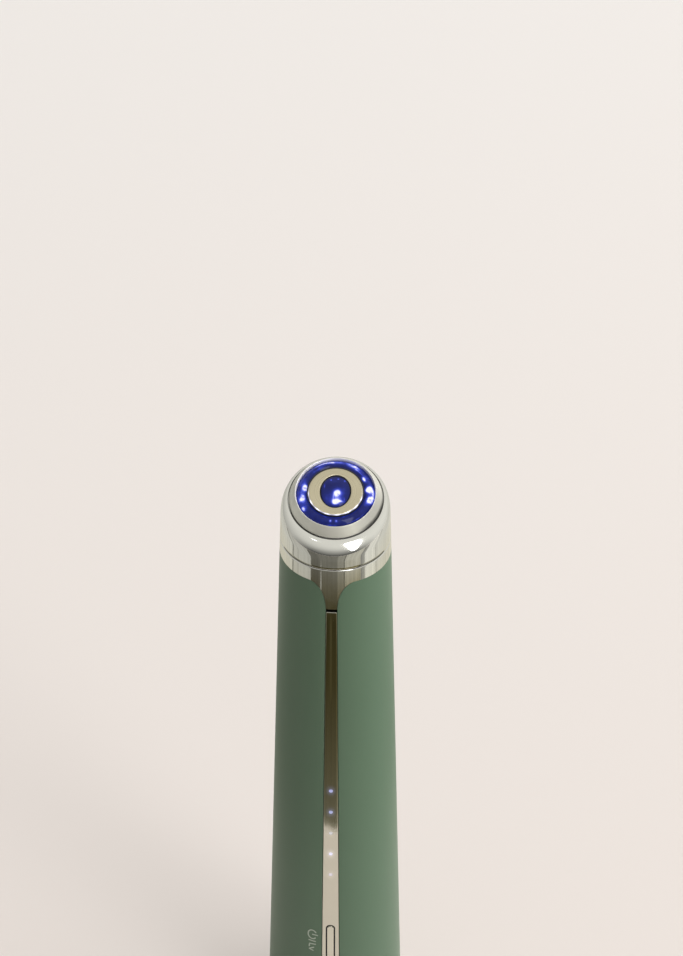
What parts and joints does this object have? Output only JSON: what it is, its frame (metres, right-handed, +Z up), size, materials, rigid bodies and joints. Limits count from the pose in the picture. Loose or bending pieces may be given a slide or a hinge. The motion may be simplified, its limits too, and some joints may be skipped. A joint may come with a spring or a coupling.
{
  "type": "rf facial device",
  "caption": "Upright tapered facial wand with a tilted round treatment face, a mirror-bright head, a front metal strip with level lights and a long press button.",
  "frame": {"origin": "centre of the foot on the surface that the wand stands on", "axes": "+Z up the wand towards the head, -Y towards the side with the strip and the button, which the treatment face also tilts to"},
  "size_m": [0.043, 0.043, 0.2147],
  "materials": {
    "head_chrome": "mirror polished",
    "champagne_metal": "satin champagne plating",
    "electrode_metal": "fine satin, warm plated",
    "blue_lens": "glossy translucent blue",
    "black_rubber": "matt",
    "black_plastic": "moulded, fine grain",
    "circuit_board": "solder resist",
    "lamp_body": "white lamp package",
    "light_pipe": "clear, lightly frosted",
    "amber_film": "polyimide film",
    "contact_brass": "gold plated",
    "screw_steel": "zinc plated",
    "white_plastic": "moulded",
    "green_soft_touch": "soft-touch satin coating",
    "strip_metal": "polished with bright bevels",
    "key_metal": "satin",
    "chip_plastic": "moulded package",
    "ferrite": "ground ferrite",
    "copper_wire": "enamelled winding",
    "can_aluminium": "bare can",
    "cell_wrap": "shrink wrap",
    "nickel_strip": "rolled",
    "foam": "closed-cell",
    "foot_rubber": "matt",
    "socket_steel": "drawn"
  },
  "bodies": {
    "wand": {"head_cap": "head_chrome", "face_bezel": "champagne_metal", "light_ring": "blue_lens", "electrode_ring": "electrode_metal", "centre_lens": "blue_lens", "lens_gasket": "black_rubber", "electrode_carrier": "black_plastic", "head_board": "circuit_board", "ring_lamps": "lamp_body", "centre_lamp": "lamp_body", "temperature_sensor": "amber_film", "contact_pins": "contact_brass", "bezel_screws": "screw_steel", "head_connector": "white_plastic", "head_seal": "black_rubber", "collar": "head_chrome", "body_sleeve": "green_soft_touch", "trim_strip": "strip_metal", "level_lights": "light_pipe", "light_holder": "black_plastic", "level_lamps": "lamp_body", "button_switch": "screw_steel", "front_frame": "black_plastic", "rear_frame": "black_plastic", "frame_screws": "screw_steel", "main_board": "circuit_board", "board_screws": "screw_steel", "control_chips": "chip_plastic", "transformer_core": "ferrite", "transformer_coil": "copper_wire", "capacitors": "can_aluminium", "board_connector": "white_plastic", "head_flex": "amber_film", "battery": "cell_wrap", "battery_tabs": "nickel_strip", "battery_pads": "foam", "base_ring": "head_chrome", "base_cap": "black_plastic", "foot_ring": "foot_rubber", "charge_port": "socket_steel", "port_tongue": "black_plastic", "charge_board": "circuit_board", "charge_flex": "amber_film", "base_screws": "screw_steel"},
    "power_key": {"power_button": "key_metal", "switch_plunger": "black_plastic"}
  },
  "joints": [
    {"name": "button_press", "type": "slide", "parent": "wand", "child": "power_key", "axis": [0, 0.9997, -0.0261], "range_m": [0, 0.0005], "stiffness_N_per_m": 1500, "springref_m": -0.0002}
  ]
}
